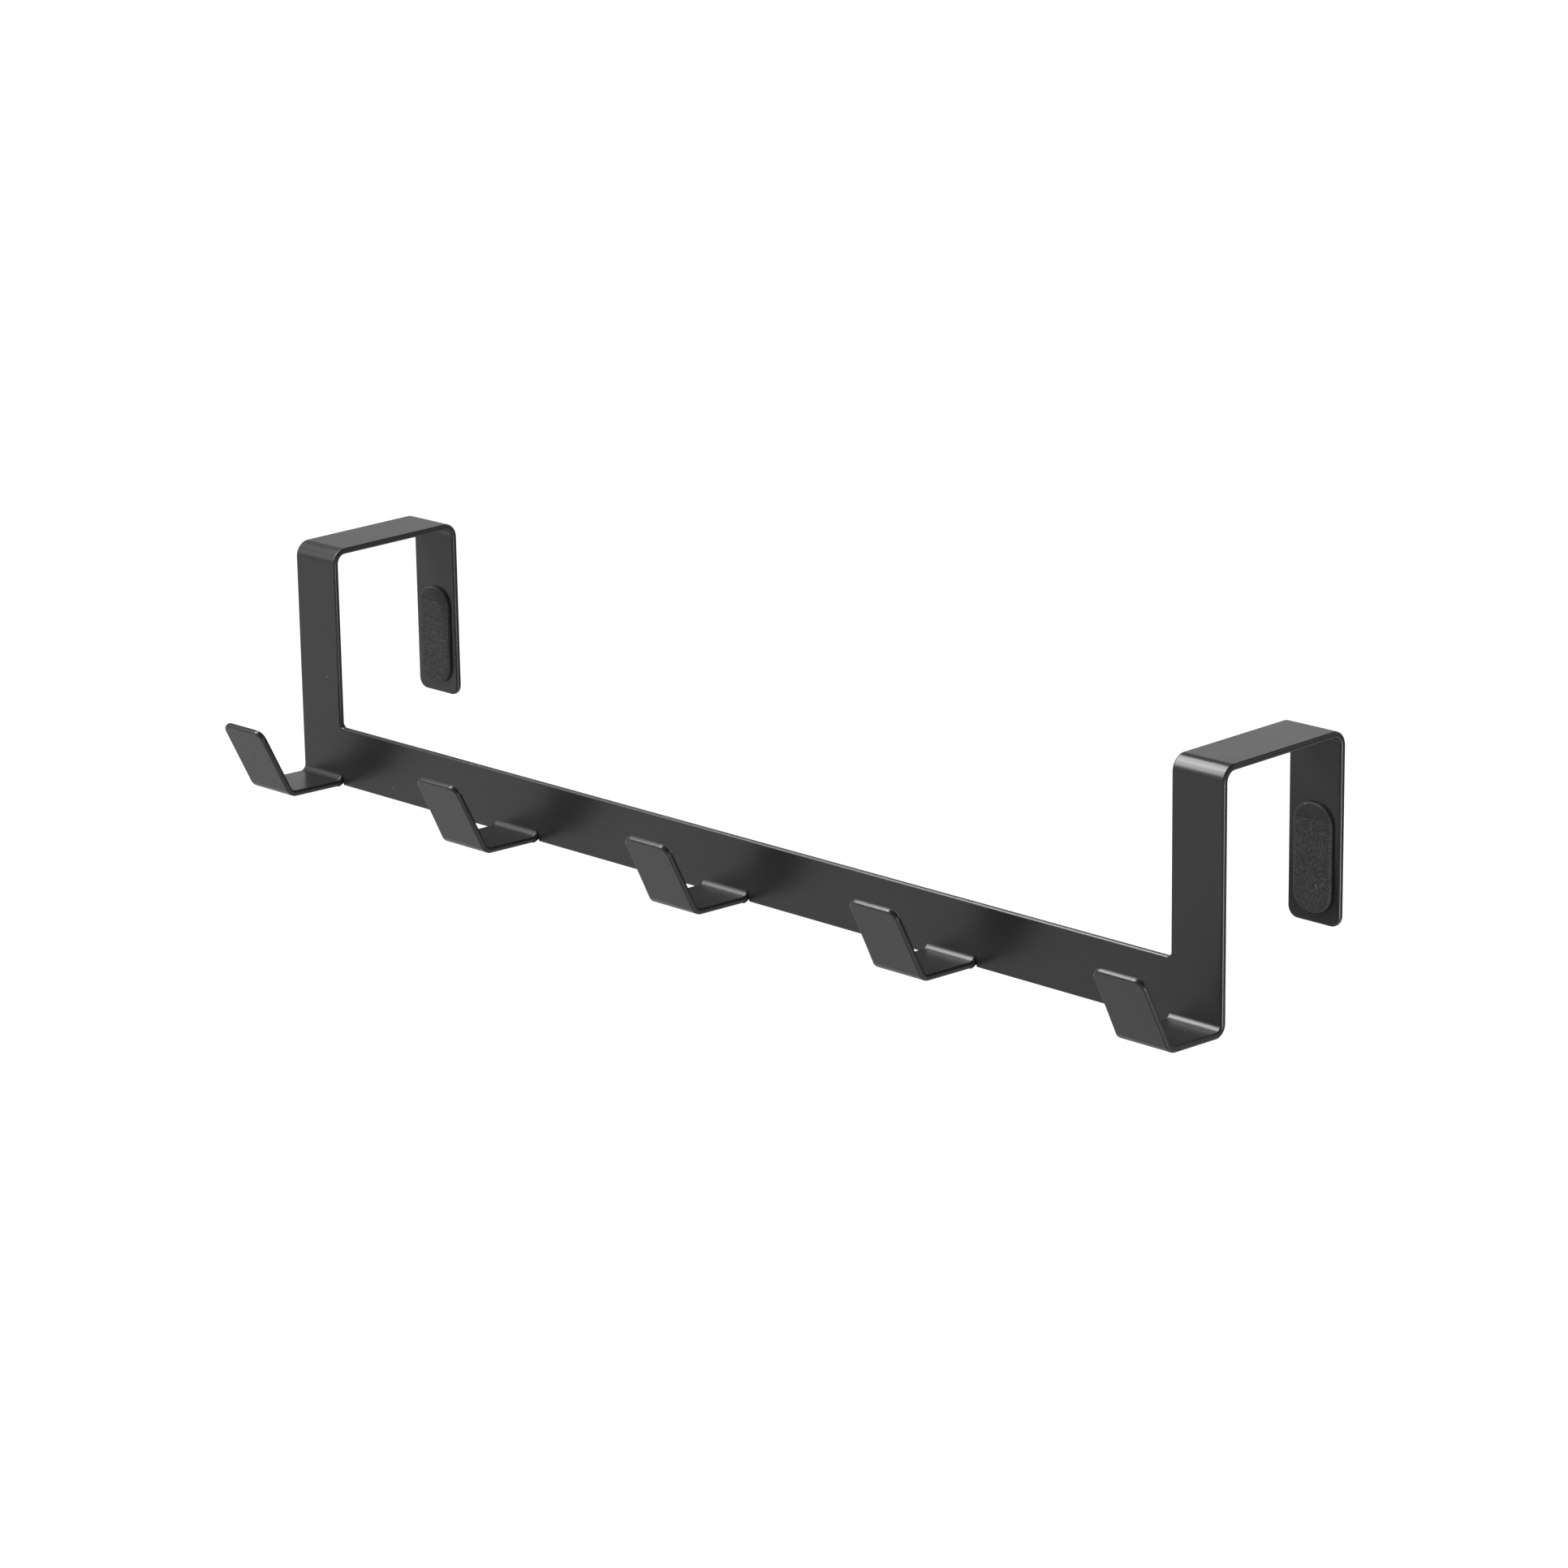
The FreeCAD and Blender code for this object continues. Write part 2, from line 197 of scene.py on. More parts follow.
class StudioSettings(bpy.types.PropertyGroup):
    """Where the camera and the floor are."""

    azimuth: bpy.props.FloatProperty(
        name="Azimuth", description="Camera's turn round the rail, from its front",
        default=math.radians(44.980), subtype="ANGLE")
    elevation: bpy.props.FloatProperty(
        name="Elevation", description="Camera's height as an angle",
        default=math.radians(16.336), subtype="ANGLE")
    roll: bpy.props.FloatProperty(
        name="Roll", description="Camera's turn about its own line of sight",
        default=math.radians(-0.863), subtype="ANGLE")
    distance: bpy.props.FloatProperty(
        name="Distance", description="From the rail's middle, at the seat's height, to the camera",
        default=1644.07 * MM, unit="LENGTH")
    aside: bpy.props.FloatVectorProperty(
        name="Aside", description="Camera's shift to its right and upwards", size=2,
        default=(17.650 * MM, -40.726 * MM), unit="LENGTH")
    focal_share: bpy.props.FloatProperty(
        name="Focal share", description="Focal length as a share of the sensor's width",
        default=PHOTO_FOCAL / PHOTO_WIDTH)
    floor_drop: bpy.props.FloatProperty(
        name="Floor drop", description="From the bar down to the floor",
        default=0.42, unit="LENGTH")


class Signal:
    """A value in a material, on which sums can be written."""

    def __init__(self, finish, socket):
        self.finish = finish
        self.socket = socket

    def _sum(self, operation, first, second):
        return self.finish.node("ShaderNodeMath", {"operation": operation}, {0: first, 1: second})

    def __add__(self, other):
        return self._sum("ADD", self, other)

    __radd__ = __add__

    def __sub__(self, other):
        return self._sum("SUBTRACT", self, other)

    def __rsub__(self, other):
        return self._sum("SUBTRACT", other, self)

    def __mul__(self, other):
        return self._sum("MULTIPLY", self, other)

    __rmul__ = __mul__

    def above(self, limit):
        """One where the value is over the limit, and nought elsewhere."""
        return self._sum("GREATER_THAN", self, limit)

    def ramp(self, low, high):
        """Nought below low, one above high, and smooth in between."""
        settings = {"interpolation_type": "SMOOTHSTEP"}
        return self.finish.node("ShaderNodeMapRange", settings, {"Value": self, 1: low, 2: high})


class Finish:
    """A material, or the surroundings, under construction."""

    def __init__(self, owner):
        self.owner = owner
        owner.use_nodes = True
        self.tree = owner.node_tree
        self.tree.nodes.clear()

    def node(self, kind, settings, inputs, output=0):
        """Add a node, set it up, fill its sockets and return one of its outputs."""
        made = self.tree.nodes.new(kind)
        for name, value in settings.items():
            setattr(made, name, value)
        for name, value in inputs.items():
            if isinstance(value, Signal):
                self.tree.links.new(value.socket, made.inputs[name])
            else:
                made.inputs[name].default_value = value
        return Signal(self, made.outputs[output])

    def where(self, kind="Object"):
        """A point's place in its piece, with Normal its facing, or with Generated a ray's way out."""
        return self.node("ShaderNodeTexCoord", {}, {}, kind)

    def ray(self, kind):
        """One on rays of that kind, and nought on others."""
        return self.node("ShaderNodeLightPath", {}, {}, f"Is {kind} Ray")

    def place(self):
        """Where a point of the piece lies, in millimetres."""
        where = self.where()
        per_millimetre = (1 / MM, 1 / MM, 1 / MM)
        return self.node("ShaderNodeMapping", {}, {"Vector": where, "Scale": per_millimetre})

    def part(self, vector, axis):
        """One of a place's or a direction's three numbers."""
        return self.node("ShaderNodeSeparateXYZ", {}, {"Vector": vector}, axis)

    def noise(self, place, scale, detail=2.0, roughness=0.5):
        """Soft unevenness, with about that many swells in each unit of the place."""
        inputs = {"Vector": place, "Scale": scale, "Detail": detail, "Roughness": roughness}
        return self.node("ShaderNodeTexNoise", {}, inputs)

    def cells(self, place, scale, output):
        """Scattered cells, with about that many in each unit of the place."""
        return self.node("ShaderNodeTexVoronoi", {}, {"Vector": place, "Scale": scale}, output)

    def dots(self, place, scale, rarity, core, edge):
        """Small round dots in a few of the scattered cells, fading from their core to their edge."""
        chosen = self.cells(place, scale, "Color")
        reach = self.cells(place, scale, "Distance")
        few = self.node("ShaderNodeSeparateColor", {}, {"Color": chosen}).above(rarity)
        return (1 - reach.ramp(core, edge)) * few

    def mix(self, share, first, second):
        """A colour between two."""
        return self.node(
            "ShaderNodeMix", {"data_type": "RGBA"}, {"Factor": share, 6: first, 7: second}, 2)

    def bump(self, height, distance, strength, under=None):
        """Normals of a surface raised by a height, over those of another where one is given."""
        inputs = {"Height": height, "Distance": distance, "Strength": strength}
        if under:
            inputs["Normal"] = under
        return self.node("ShaderNodeBump", {}, inputs)

    def surface(self, inputs):
        """End the material in a surface with these values."""
        self.close(self.node("ShaderNodeBsdfPrincipled", {}, inputs))

    def close(self, shader, kind="ShaderNodeOutputMaterial"):
        """End in a shader."""
        end = self.tree.nodes.new(kind)
        self.tree.links.new(shader.socket, end.inputs["Surface"])


def shaded(colour, share):
    """A darker or paler shade of a colour."""
    return [part * share for part in colour[:3]] + [1.0]


def powder_coat(looks):
    """Satin black powder coat: a faint orange peel, slow clouds of gloss and a few pale specks."""
    finish = Finish(bpy.data.materials.new("satin_powder_coat"))
    place = finish.place()
    clouds = finish.noise(place, scale=0.035, detail=3.0)
    peel = finish.noise(place, scale=0.75, detail=1.0)
    grain = finish.noise(place, scale=3.4, roughness=0.6)
    specks = finish.dots(place, scale=0.13, rarity=0.7, core=0.02, edge=0.045)
    cloudy = finish.mix(clouds, shaded(looks.coat, 0.86), shaded(looks.coat, 1.14))
    colour = finish.mix(specks, cloudy, tuple(looks.coat_dust))

    cloud_gloss, grain_gloss = 0.10, 0.05
    uneven = (clouds - 0.5) * cloud_gloss + (grain - 0.5) * grain_gloss
    roughness = looks.coat_roughness + uneven

    speck_height = 3.0
    peeled = finish.bump(peel, distance=0.018 * MM, strength=0.5)
    grained = finish.bump(
        grain + specks * speck_height, distance=0.005 * MM, strength=0.6, under=peeled)
    finish.surface({"Base Color": colour, "Roughness": roughness, "IOR": 1.5, "Normal": grained})
    return finish.owner


def foam_skin(looks, crease):
    """Black foam: dull and speckled with painted glints on its cell walls, with a painted highlight on
    its cut rim and weaker painted glints above its crease.
    """
    finish = Finish(bpy.data.materials.new("closed_cell_foam"))
    place = finish.place()
    swell = finish.noise(place, scale=0.22)
    speckle = finish.noise(place, scale=2.3, roughness=0.65)
    walls = finish.cells(place, 2.6, "Distance")

    # Painted highlight: a paler ring where the face turns into the rounded rim, picked by which way
    # the surface faces, with more pale flecks there too.
    facing = finish.part(finish.where("Normal"), "Y")
    rim = facing.ramp(-0.97, -0.7) * (1 - facing.ramp(-0.35, -0.1))
    on_face, more_on_rim = 0.35, 0.65
    dots = finish.dots(place, scale=0.42, rarity=0.8, core=0.06, edge=0.11)
    flecks = dots * (on_face + rim * more_on_rim)

    # Painted shade: above the crease the painted glints are weaker, so that end of the pad is painted
    # darker.
    crease_blur = 0.2
    height = finish.part(place, "Z")
    dimmed_above_crease = height.ramp(crease / MM - crease_blur, crease / MM + crease_blur)
    open_glint, glint_lost_above_crease, rim_glint = 0.38, 0.14, 0.3
    # Painted glints: the highlights on the foam's cell walls are painted into its colour as paler
    # speckles.
    lit = speckle.ramp(0.42, 0.68) * (open_glint - dimmed_above_crease * glint_lost_above_crease) + rim * rim_glint
    speckled = finish.mix(lit, shaded(looks.foam, 0.8), tuple(looks.foam_glint))
    colour = finish.mix(flecks, speckled, tuple(looks.foam_dust))

    dull, glint_gloss, fleck_gloss = 0.9, 0.25, 0.3
    roughness = dull - lit * glint_gloss - flecks * fleck_gloss
    swelled = finish.bump(swell, distance=0.35 * MM, strength=0.35)
    pitted = finish.bump(walls + speckle, distance=0.12 * MM, strength=0.7, under=swelled)
    finish.surface({"Base Color": colour, "Roughness": roughness, "Normal": pitted,
                    "Specular IOR Level": 0.35})
    return finish.owner


def paper(name, glow, spot):
    """White paper that glows to the camera, and in gloss away from a spot, but lights nothing."""
    finish = Finish(bpy.data.materials.new(name))
    place = finish.where()
    fibres = finish.noise(place, scale=30.0)
    white = finish.mix(fibres, (0.48, 0.48, 0.48, 1.0), (0.52, 0.52, 0.52, 1.0))
    matte = finish.node("ShaderNodeBsdfDiffuse", {}, {"Color": white})

    # Painted reflection: in gloss rays the paper also glows, and this painted glow is taken away in a
    # round spot in front of the hooks and far behind, which darkens the floor seen in the rail's
    # reflections.
    away = finish.node("ShaderNodeVectorMath", {"operation": "DISTANCE"}, {0: place, 1: spot}, "Value")
    behind = finish.part(place, "Y")
    round_spot = (1 - away.ramp(0.6, 1.7)) * (1 - behind.ramp(0.0, 0.5))
    far_behind = behind.ramp(0.65, 0.9)
    gloss_share = 0.65
    mirrored = finish.ray("Glossy") * (1 - round_spot) * (1 - far_behind) * gloss_share
    seen = finish.ray("Camera") + mirrored
    shine = finish.node("ShaderNodeEmission", {}, {"Strength": seen * glow})
    finish.close(finish.node("ShaderNodeAddShader", {}, {0: matte, 1: shine}))
    return finish.owner


def deselect_all():
    """Leave nothing selected, so that an operator acts on the new piece alone."""
    bpy.ops.object.select_all(action="DESELECT")


def pick(kind, wanted):
    """Select, in edit mode, the edges or faces that fit."""
    bpy.ops.mesh.select_mode(type=kind)
    bpy.ops.mesh.select_all(action="DESELECT")
    data = bpy.context.object.data
    mesh = bmesh.from_edit_mesh(data)
    items = mesh.faces if kind == "FACE" else mesh.edges
    found = [item for item in items if wanted(item)]
    if not found:
        raise RuntimeError(f"{bpy.context.object.name} has nothing to select there")
    for item in found:
        item.select_set(True)
    bmesh.update_edit_mesh(data)


def middle(item):
    """The middle of an edge's or a face's corners."""
    total = Vector()
    for corner in item.verts:
        total += corner.co
    return total / len(item.verts)


def lies_at(item, y, z, reach=NEAR):
    """Whether an item's middle lies on the line along the rail through (y, z)."""
    where = middle(item)
    return math.hypot(where.y - y, where.z - z) < reach


def lies_in_plane(item, y):
    """Whether all of an item's corners lie in the upright plane at y."""
    return all(abs(corner.co.y - y) < NEAR for corner in item.verts)


def extrude(x, y, z):
    """Draw the selected edges out into faces."""
    bpy.ops.mesh.extrude_region_move(TRANSFORM_OT_translate={"value": (x, y, z)})


def fold(angle, y, z):
    """Roll the selected edges round a line along the rail."""
    steps = max(FEWEST_FACETS, round(math.degrees(angle) / FACET_DEGREES))
    bpy.ops.mesh.spin(steps=steps, angle=angle, center=(0, y, z), axis=(1, 0, 0))


def cut_across(axis, place):
    """Cut the whole mesh where it crosses a place on an axis."""
    point, normal = Vector(), Vector()
    point[axis] = place
    normal[axis] = 1.0
    bpy.ops.mesh.select_all(action="SELECT")
    bpy.ops.mesh.bisect(plane_co=point, plane_no=normal)


def round_off(wanted, radius, segments):
    """Round the edges that fit."""
    pick("EDGE", wanted)
    bpy.ops.mesh.bevel(offset=radius, offset_type="OFFSET", segments=segments, profile=0.5,
                       affect="EDGES", clamp_overlap=False)


def apply_modifier(piece, name, kind, **settings):
    """Add a modifier, set it up and make it part of the mesh."""
    modifier = piece.modifiers.new(name, kind)
    for key, value in settings.items():
        setattr(modifier, key, value)
    bpy.ops.object.modifier_apply(modifier=name)


def smooth(piece):
    """Shade the roundings smooth and keep the flats flat."""
    bpy.ops.object.shade_smooth_by_angle(angle=ROUNDING_TURN)
    apply_modifier(piece, "flat_faces", "WEIGHTED_NORMAL", weight=80, keep_sharp=True)


def finish_piece(piece, name, material):
    """Name a piece, coat it and hang it on the rail's only body."""
    piece.name = name
    piece.data.name = name
    piece.data.materials.clear()
    piece.data.materials.append(material)
    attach(piece, "root")


class RailPlan:
    """The rail's lines and corners, worked out from its sizes."""

    def __init__(self, sizes):
        self.sheet = sizes.sheet
        self.through = sizes.sheet / 2
        self.half = sizes.length / 2
        self.top = sizes.bar_height / 2
        self.foot = sizes.seat - sizes.leg_drop
        self.outer_bend = sizes.inner_bend + sizes.sheet
        self.fold_line = self.outer_bend - self.top
        self.slit_top = self.fold_line + sizes.slit_rise
        self.half_hook = sizes.hook_width / 2
        self.half_slot = self.half_hook + sizes.slit_width
        reach, gaps = sizes.length - sizes.hook_width, sizes.hook_count - 1
        self.centres = [reach * (index / gaps - 0.5) for index in range(sizes.hook_count)]
        self.plan_hook(sizes)

    def plan_hook(self, sizes):
        """The hook's side view: its shelf runs outwards to the heel and its lip upwards to the tip."""
        rise, lean = sizes.shelf_rise, sizes.lip_lean
        self.outwards = Vector((0, -math.cos(rise), math.sin(rise)))
        self.upwards = Vector((0, -math.sin(lean), math.cos(lean)))
        shelf_inwards = Vector((0, math.sin(rise), math.cos(rise)))
        lip_inwards = Vector((0, math.cos(lean), math.sin(lean)))
        self.root_turn = math.pi / 2 + rise
        self.lip_turn = math.pi / 2 - rise - lean
        lip_outer = sizes.lip_bend + sizes.sheet
        root_run = self.outer_bend * math.tan(self.root_turn / 2)
        lip_run = lip_outer * math.tan(self.lip_turn / 2)
        corner = Vector((0, 0, self.fold_line - root_run))
        heel = corner + self.outwards * ((sizes.sheet + sizes.hook_depth) / math.cos(rise))
        self.lip_hub = heel - self.outwards * lip_run + shelf_inwards * lip_outer
        self.shelf_flat = (heel - corner).length - root_run - lip_run
        self.lip_flat = sizes.lip_length - lip_run
        self.tip = heel + self.upwards * sizes.lip_length + lip_inwards * self.through

    def off_hook(self, item):
        """How far along the rail an item lies from the middle of the nearest hook."""
        return min(abs(middle(item).x - centre) for centre in self.centres)

    def runs_through(self, edge, y, z):
        """Whether an edge runs through the sheet's thickness at (y, z)."""
        return edge.calc_length() < self.sheet + NEAR and lies_at(edge, y, z, CLOSE)


def cut_blank(sizes, plan):
    """Cut the bar's back face out of the sheet, with a slit at both sides of each hook's root."""
    bpy.ops.mesh.primitive_plane_add(size=1, rotation=(-math.pi / 2, 0, 0))
    piece = bpy.context.object
    piece.scale = (sizes.length, sizes.bar_height, 1)
    bpy.ops.object.transform_apply(location=True, rotation=True, scale=True)
    bpy.ops.object.mode_set(mode="EDIT")
    for centre in plan.centres:
        for offset in (-plan.half_slot, -plan.half_hook, plan.half_hook, plan.half_slot):
            if abs(centre + offset) < plan.half - NEAR:
                cut_across(X, centre + offset)
    cut_across(Z, plan.fold_line)
    cut_across(Z, plan.slit_top)

    def is_waste(face):
        off, height = plan.off_hook(face), middle(face).z
        under_fold = off < plan.half_hook and height < plan.fold_line
        in_slit = plan.half_hook < off < plan.half_slot and height < plan.slit_top
        return under_fold or in_slit

    pick("FACE", is_waste)
    bpy.ops.mesh.delete(type="FACE")
    return piece


def fold_straps(sizes, plan):
    """Draw the straps up from the bar's ends, fold them over the door and down to the legs' feet."""
    bend = sizes.strap_bend
    inner_side = plan.half - sizes.strap_width
    pick("EDGE", lambda edge: lies_at(edge, 0, plan.top) and abs(middle(edge).x) > inner_side)
    extrude(0, 0, sizes.seat - bend - plan.top)
    fold(math.pi / 2, bend, sizes.seat - bend)
    extrude(0, sizes.door_gap - 2 * bend, 0)
    fold(math.pi / 2, sizes.door_gap - bend, sizes.seat - bend)
    extrude(0, 0, -(sizes.leg_drop - bend))


def fold_hooks(plan):
    """Fold the shelves forwards under the bar, and the lips up and outwards at their ends."""
    def is_root(edge):
        return lies_at(edge, 0, plan.fold_line) and plan.off_hook(edge) < plan.half_hook

    pick("EDGE", is_root)
    fold(plan.root_turn, -plan.outer_bend, plan.fold_line)
    extrude(*(plan.outwards * plan.shelf_flat))
    fold(plan.lip_turn, plan.lip_hub.y, plan.lip_hub.z)
    extrude(*(plan.upwards * plan.lip_flat))


def round_corners(sizes, plan):
    """Round the lips' tips, the legs' feet and the inside corners between straps and bar."""
    def at_tip(edge):
        return plan.runs_through(edge, plan.tip.y, plan.tip.z)

    def at_foot(edge):
        return plan.runs_through(edge, sizes.door_gap + plan.through, plan.foot)

    def at_strap_root(edge):
        inside = abs(middle(edge).x) < plan.half - CLOSE
        return inside and plan.runs_through(edge, -plan.through, plan.top)

    round_off(at_tip, sizes.lip_corner, segments=8)
    round_off(at_foot, sizes.leg_corner, segments=8)
    round_off(at_strap_root, sizes.strap_root, segments=6)


def round_edges(sizes, plan):
    """Round the sheet's cut edges, except those that close up in the slits beside the hooks' roots."""
    def borders_slit(edge):
        beside_root = plan.half_hook + NEAR < plan.off_hook(edge) < plan.half_slot + NEAR
        return beside_root and middle(edge).z < plan.slit_top + NEAR

    def under_root(edge):
        where = middle(edge)
        inside = abs(where.x) < plan.half - NEAR
        on_side = abs(plan.off_hook(edge) - plan.half_hook) < NEAR
        in_fold = where.z < plan.slit_top and where.y > -plan.outer_bend
        from_hub = math.hypot(where.y + plan.outer_bend, where.z - plan.fold_line)
        return inside and on_side and in_fold and from_hub > plan.outer_bend - CLOSE

    def is_outline(edge):
        sharp = len(edge.link_faces) == 2 and edge.calc_face_angle() > OUTLINE_TURN
        slit_end = plan.runs_through(edge, -plan.through, plan.slit_top)
        return sharp and not (slit_end or borders_slit(edge) or under_root(edge))

    round_off(is_outline, sizes.edge_round, segments=5)


def fold_rail(sizes):
    """Fold the rail from the back face of its sheet, thicken it and round its corners and edges."""
    plan = RailPlan(sizes)
    piece = cut_blank(sizes, plan)
    fold_straps(sizes, plan)
    fold_hooks(plan)
    bpy.ops.object.mode_set(mode="OBJECT")
    apply_modifier(piece, "thickness", "SOLIDIFY", thickness=sizes.sheet, offset=-1,
                   use_even_offset=True, use_quality_normals=True)
    bpy.ops.object.mode_set(mode="EDIT")
    bpy.ops.mesh.select_all(action="SELECT")
    bpy.ops.mesh.dissolve_limited(angle_limit=FLAT_TURN)
    cut_across(Y, -plan.outer_bend)
    round_corners(sizes, plan)
    round_edges(sizes, plan)
    bpy.ops.object.mode_set(mode="OBJECT")
    smooth(piece)
    return piece


def press_crease(sizes, low, top):
    """Press the crowned face flat above a line, and press a short crease in along that line."""
    line = top - sizes.crease_drop
    start = low.x + sizes.crease_start
    end = start + sizes.crease_length
    fade = 3 * sizes.crease_width
    for place in (line - sizes.crease_width, line, line + sizes.crease_width):
        cut_across(Z, place)
    for place in (start - fade, start, end, end + fade):
        cut_across(X, place)
    crowned = low.y - sizes.crown
    pick("FACE", lambda face: lies_in_plane(face, crowned) and middle(face).z > line)
    bpy.ops.transform.translate(value=(0, sizes.crown, 0))
    pick("EDGE", lambda edge: lies_at(edge, low.y, line) and start < middle(edge).x < end)
    bpy.ops.transform.translate(value=(0, sizes.crease_depth, 0))


def press_pad(sizes, low, high):
    """Cut a foam pad, soften its rim, crown its face and crease its upper end."""
    low = low + Vector((sizes.side_margin, 0, sizes.end_margin))
    high = high - Vector((sizes.side_margin, 0, 0))
    bpy.ops.mesh.primitive_cube_add(size=1, location=(low + high) / 2)
    piece = bpy.context.object
    piece.scale = high - low
    bpy.ops.object.transform_apply(location=True, rotation=True, scale=True)
    bpy.ops.object.mode_set(mode="EDIT")
    depth = high.y - low.y

    def is_corner(edge):
        run = edge.verts[1].co - edge.verts[0].co
        return abs(run.y) > depth - NEAR

    round_off(is_corner, sizes.corner, segments=10)
    round_off(lambda edge: lies_in_plane(edge, low.y), sizes.rim, segments=4)
    pick("FACE", lambda face: lies_in_plane(face, low.y))
    bpy.ops.mesh.inset(thickness=2 * sizes.rim)
    bpy.ops.transform.translate(value=(0, -sizes.crown, 0))
    press_crease(sizes, low, high.z)
    bpy.ops.object.mode_set(mode="OBJECT")
    smooth(piece)
    return piece


def add_floor(studio):
    """A white paper floor, well below the hanging rail, dimmer in gloss in front of the hooks."""
    deselect_all()
    bpy.ops.mesh.primitive_plane_add(size=40, location=(0, 0, -studio.floor_drop))
    floor = bpy.context.object
    bpy.ops.object.transform_apply(location=True, rotation=True, scale=True)
    floor.name = "floor"
    before_hooks = (0.1, -0.5, -studio.floor_drop)
    floor.data.materials.append(paper("white_paper", glow=0.8, spot=before_hooks))


def turn_to(item, right, up, back):
    """Turn a lamp or a camera so that its own axes lie along these three directions."""
    item.rotation_mode = "QUATERNION"
    item.rotation_quaternion = Matrix((right, up, back)).transposed().to_quaternion()


def add_lamp(name, place, along, width, length, power):
    """A soft lamp that faces the bar, its length along a direction, and stays out of the picture."""
    data = bpy.data.lights.new(name, "AREA")
    data.shape = "RECTANGLE"
    data.size = width
    data.size_y = length
    data.energy = power
    lamp = bpy.data.objects.new(name, data)
    bpy.context.scene.collection.objects.link(lamp)
    lamp.location = place
    back = Vector(place).normalized()
    across = Vector(along).cross(back).normalized()
    turn_to(lamp, across, back.cross(across), back)
    lamp.visible_camera = False


def add_light(scene):
    """Surroundings that are white to the camera and greyer as light and in gloss, and four lamps."""
    scene.world = bpy.data.worlds.new("studio")
    sky = Finish(scene.world)
    way = sky.where("Generated")
    backwards = sky.part(way, "Y").ramp(0.5, 0.8)
    upwards = sky.part(way, "Z").ramp(0.35, 0.65)
    around, more_behind, less_above = 0.53, 0.4, 0.85
    mirrored = (around + backwards * more_behind) * (1 - upwards * less_above)
    seen, as_light = 1.0, 0.4
    for_camera = sky.ray("Camera") * (seen - as_light)
    for_gloss = sky.ray("Glossy") * (mirrored - as_light)
    inputs = {"Color": (1.0, 1.0, 1.0, 1.0), "Strength": as_light + for_camera + for_gloss}
    sky.close(sky.node("ShaderNodeBackground", {}, inputs), "ShaderNodeOutputWorld")

    doorwards, upright = (0, 1, 0.3), (0, 0, 1)
    add_lamp("strip", (-0.72, -0.40, 1.00), doorwards, width=0.32, length=1.55, power=22.0)
    add_lamp("spark", (-1.0, -0.84, 2.05), doorwards, width=0.4, length=0.4, power=20.0)
    add_lamp("fill", (-0.95, -0.84, 0.5), upright, width=0.5, length=0.5, power=1.3)
    add_lamp("rim", (0.86, 0.02, -0.2), upright, width=0.12, length=0.3, power=2.8)


def add_camera(scene, studio):
    """The camera, at the photograph's angle, distance and framing."""
    turn, rise = studio.azimuth, studio.elevation
    back = Vector((math.sin(turn) * math.cos(rise), -math.cos(turn) * math.cos(rise), math.sin(rise)))
    level = Vector((0, 0, 1)).cross(back).normalized()
    right = level * math.cos(studio.roll) + back.cross(level) * math.sin(studio.roll)
    up = back.cross(right)
    data = bpy.data.cameras.new("camera")
    data.sensor_width = 36.0
    data.lens = data.sensor_width * studio.focal_share
    data.clip_start = 0.05
    data.clip_end = 60.0
    camera = bpy.data.objects.new("camera", data)
    scene.collection.objects.link(camera)
    aim = Vector((0, 0, scene.rail_sizes.seat))
    camera.location = aim + back * studio.distance + right * studio.aside[0] + up * studio.aside[1]
    turn_to(camera, right, up, back)
    scene.camera = camera
    scene.view_settings.view_transform = "Standard"


class HOOKRAIL_OT_set_stage(bpy.types.Operator):
    """Set up the white floor, the soft light and the camera"""

    bl_idname = "hookrail.set_stage"
    bl_label = "Set the stage"

    def execute(self, context):
        studio = context.scene.studio
        add_floor(studio)
        add_light(context.scene)
        add_camera(context.scene, studio)
        return {"FINISHED"}


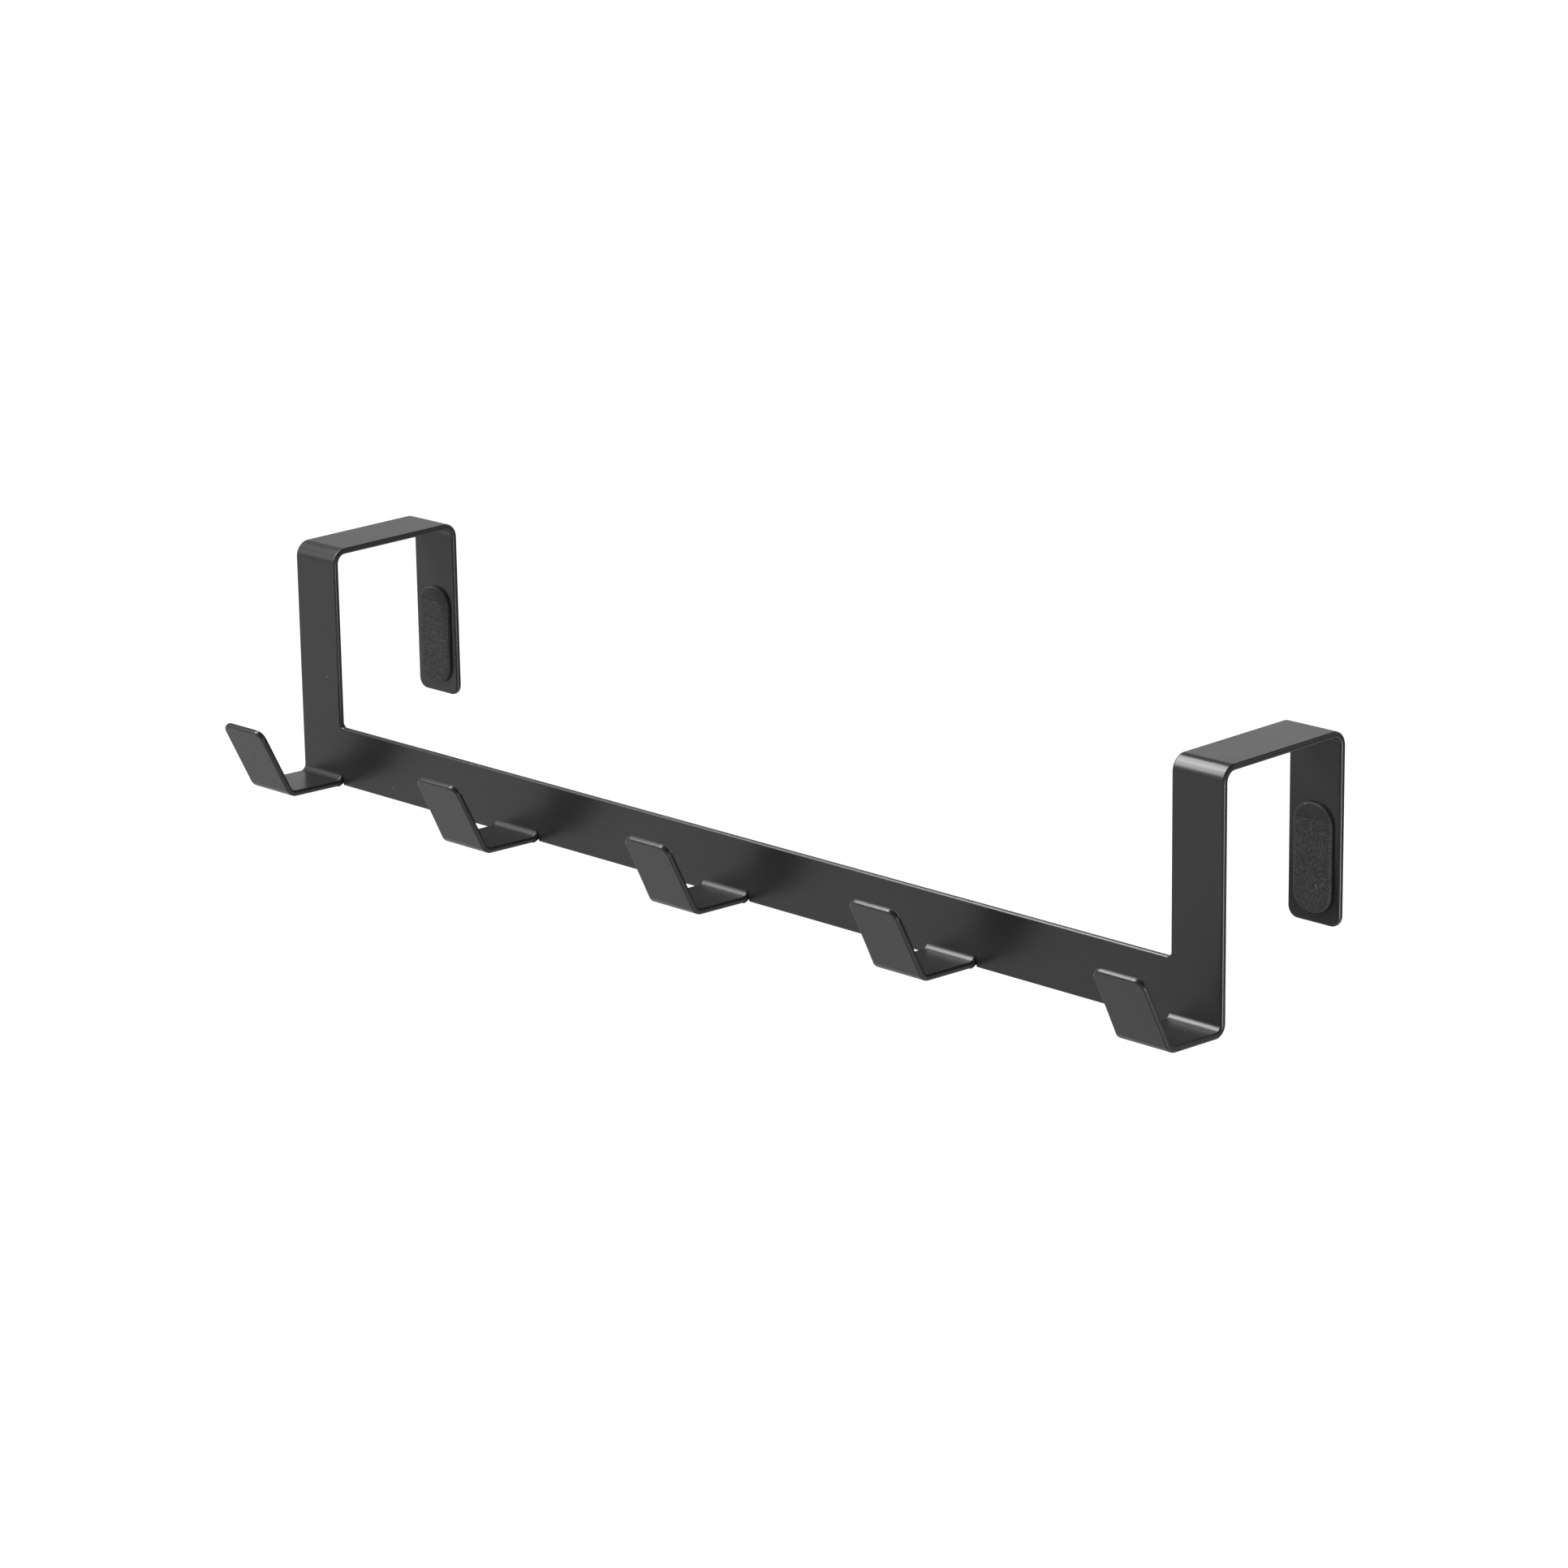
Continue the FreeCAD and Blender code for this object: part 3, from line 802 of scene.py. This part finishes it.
class HOOKRAIL_OT_fold_rail(bpy.types.Operator):
    """Fold the powder-coated sheet with its straps and hooks"""

    bl_idname = "hookrail.fold_rail"
    bl_label = "Fold the rail"

    def execute(self, context):
        deselect_all()
        piece = fold_rail(context.scene.rail_sizes)
        coat = powder_coat(context.scene.finishes)
        finish_piece(piece, "folded_rail", coat)
        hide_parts("hook_rail")
        return {"FINISHED"}


class HOOKRAIL_OT_stick_pads(bpy.types.Operator):
    """Stick a foam pad on the inner face of each leg"""

    bl_idname = "hookrail.stick_pads"
    bl_label = "Stick the pads on"

    def execute(self, context):
        sizes = context.scene.pad_sizes
        foam = foam_skin(context.scene.finishes, PAD_TOP - sizes.crease_drop)
        for side in ("left", "right"):
            deselect_all()
            piece = press_pad(sizes, *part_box(f"pad_{side}"))
            finish_piece(piece, f"foam_pad_{side}", foam)
            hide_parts(f"pad_{side}")
        return {"FINISHED"}


class VIEW3D_PT_hook_rail(bpy.types.Panel):
    """Lists what can be built and the sizes it is built to"""

    bl_label = "Hook rail"
    bl_space_type = "VIEW_3D"
    bl_region_type = "UI"
    bl_category = "Hook rail"

    def draw(self, context):
        for operator in OPERATORS:
            self.layout.operator(operator.bl_idname)
        for name in GROUPS:
            box = self.layout.box()
            group = getattr(context.scene, name)
            for key in group.__annotations__:
                box.prop(group, key)


OPERATORS = (HOOKRAIL_OT_set_stage, HOOKRAIL_OT_fold_rail, HOOKRAIL_OT_stick_pads)
GROUPS = {
    "rail_sizes": RailSizes,
    "pad_sizes": PadSizes,
    "finishes": Finishes,
    "studio": StudioSettings,
}
CLASSES = (*GROUPS.values(), *OPERATORS, VIEW3D_PT_hook_rail)


def register():
    for kind in CLASSES:
        bpy.utils.register_class(kind)
    for name, kind in GROUPS.items():
        setattr(bpy.types.Scene, name, bpy.props.PointerProperty(type=kind))


def unregister():
    for name in GROUPS:
        delattr(bpy.types.Scene, name)
    for kind in reversed(CLASSES):
        bpy.utils.unregister_class(kind)


def main():
    """Build the whole scene."""
    register()
    bpy.ops.hookrail.set_stage()
    bpy.ops.hookrail.fold_rail()
    bpy.ops.hookrail.stick_pads()


if __name__ == "__main__":
    main()
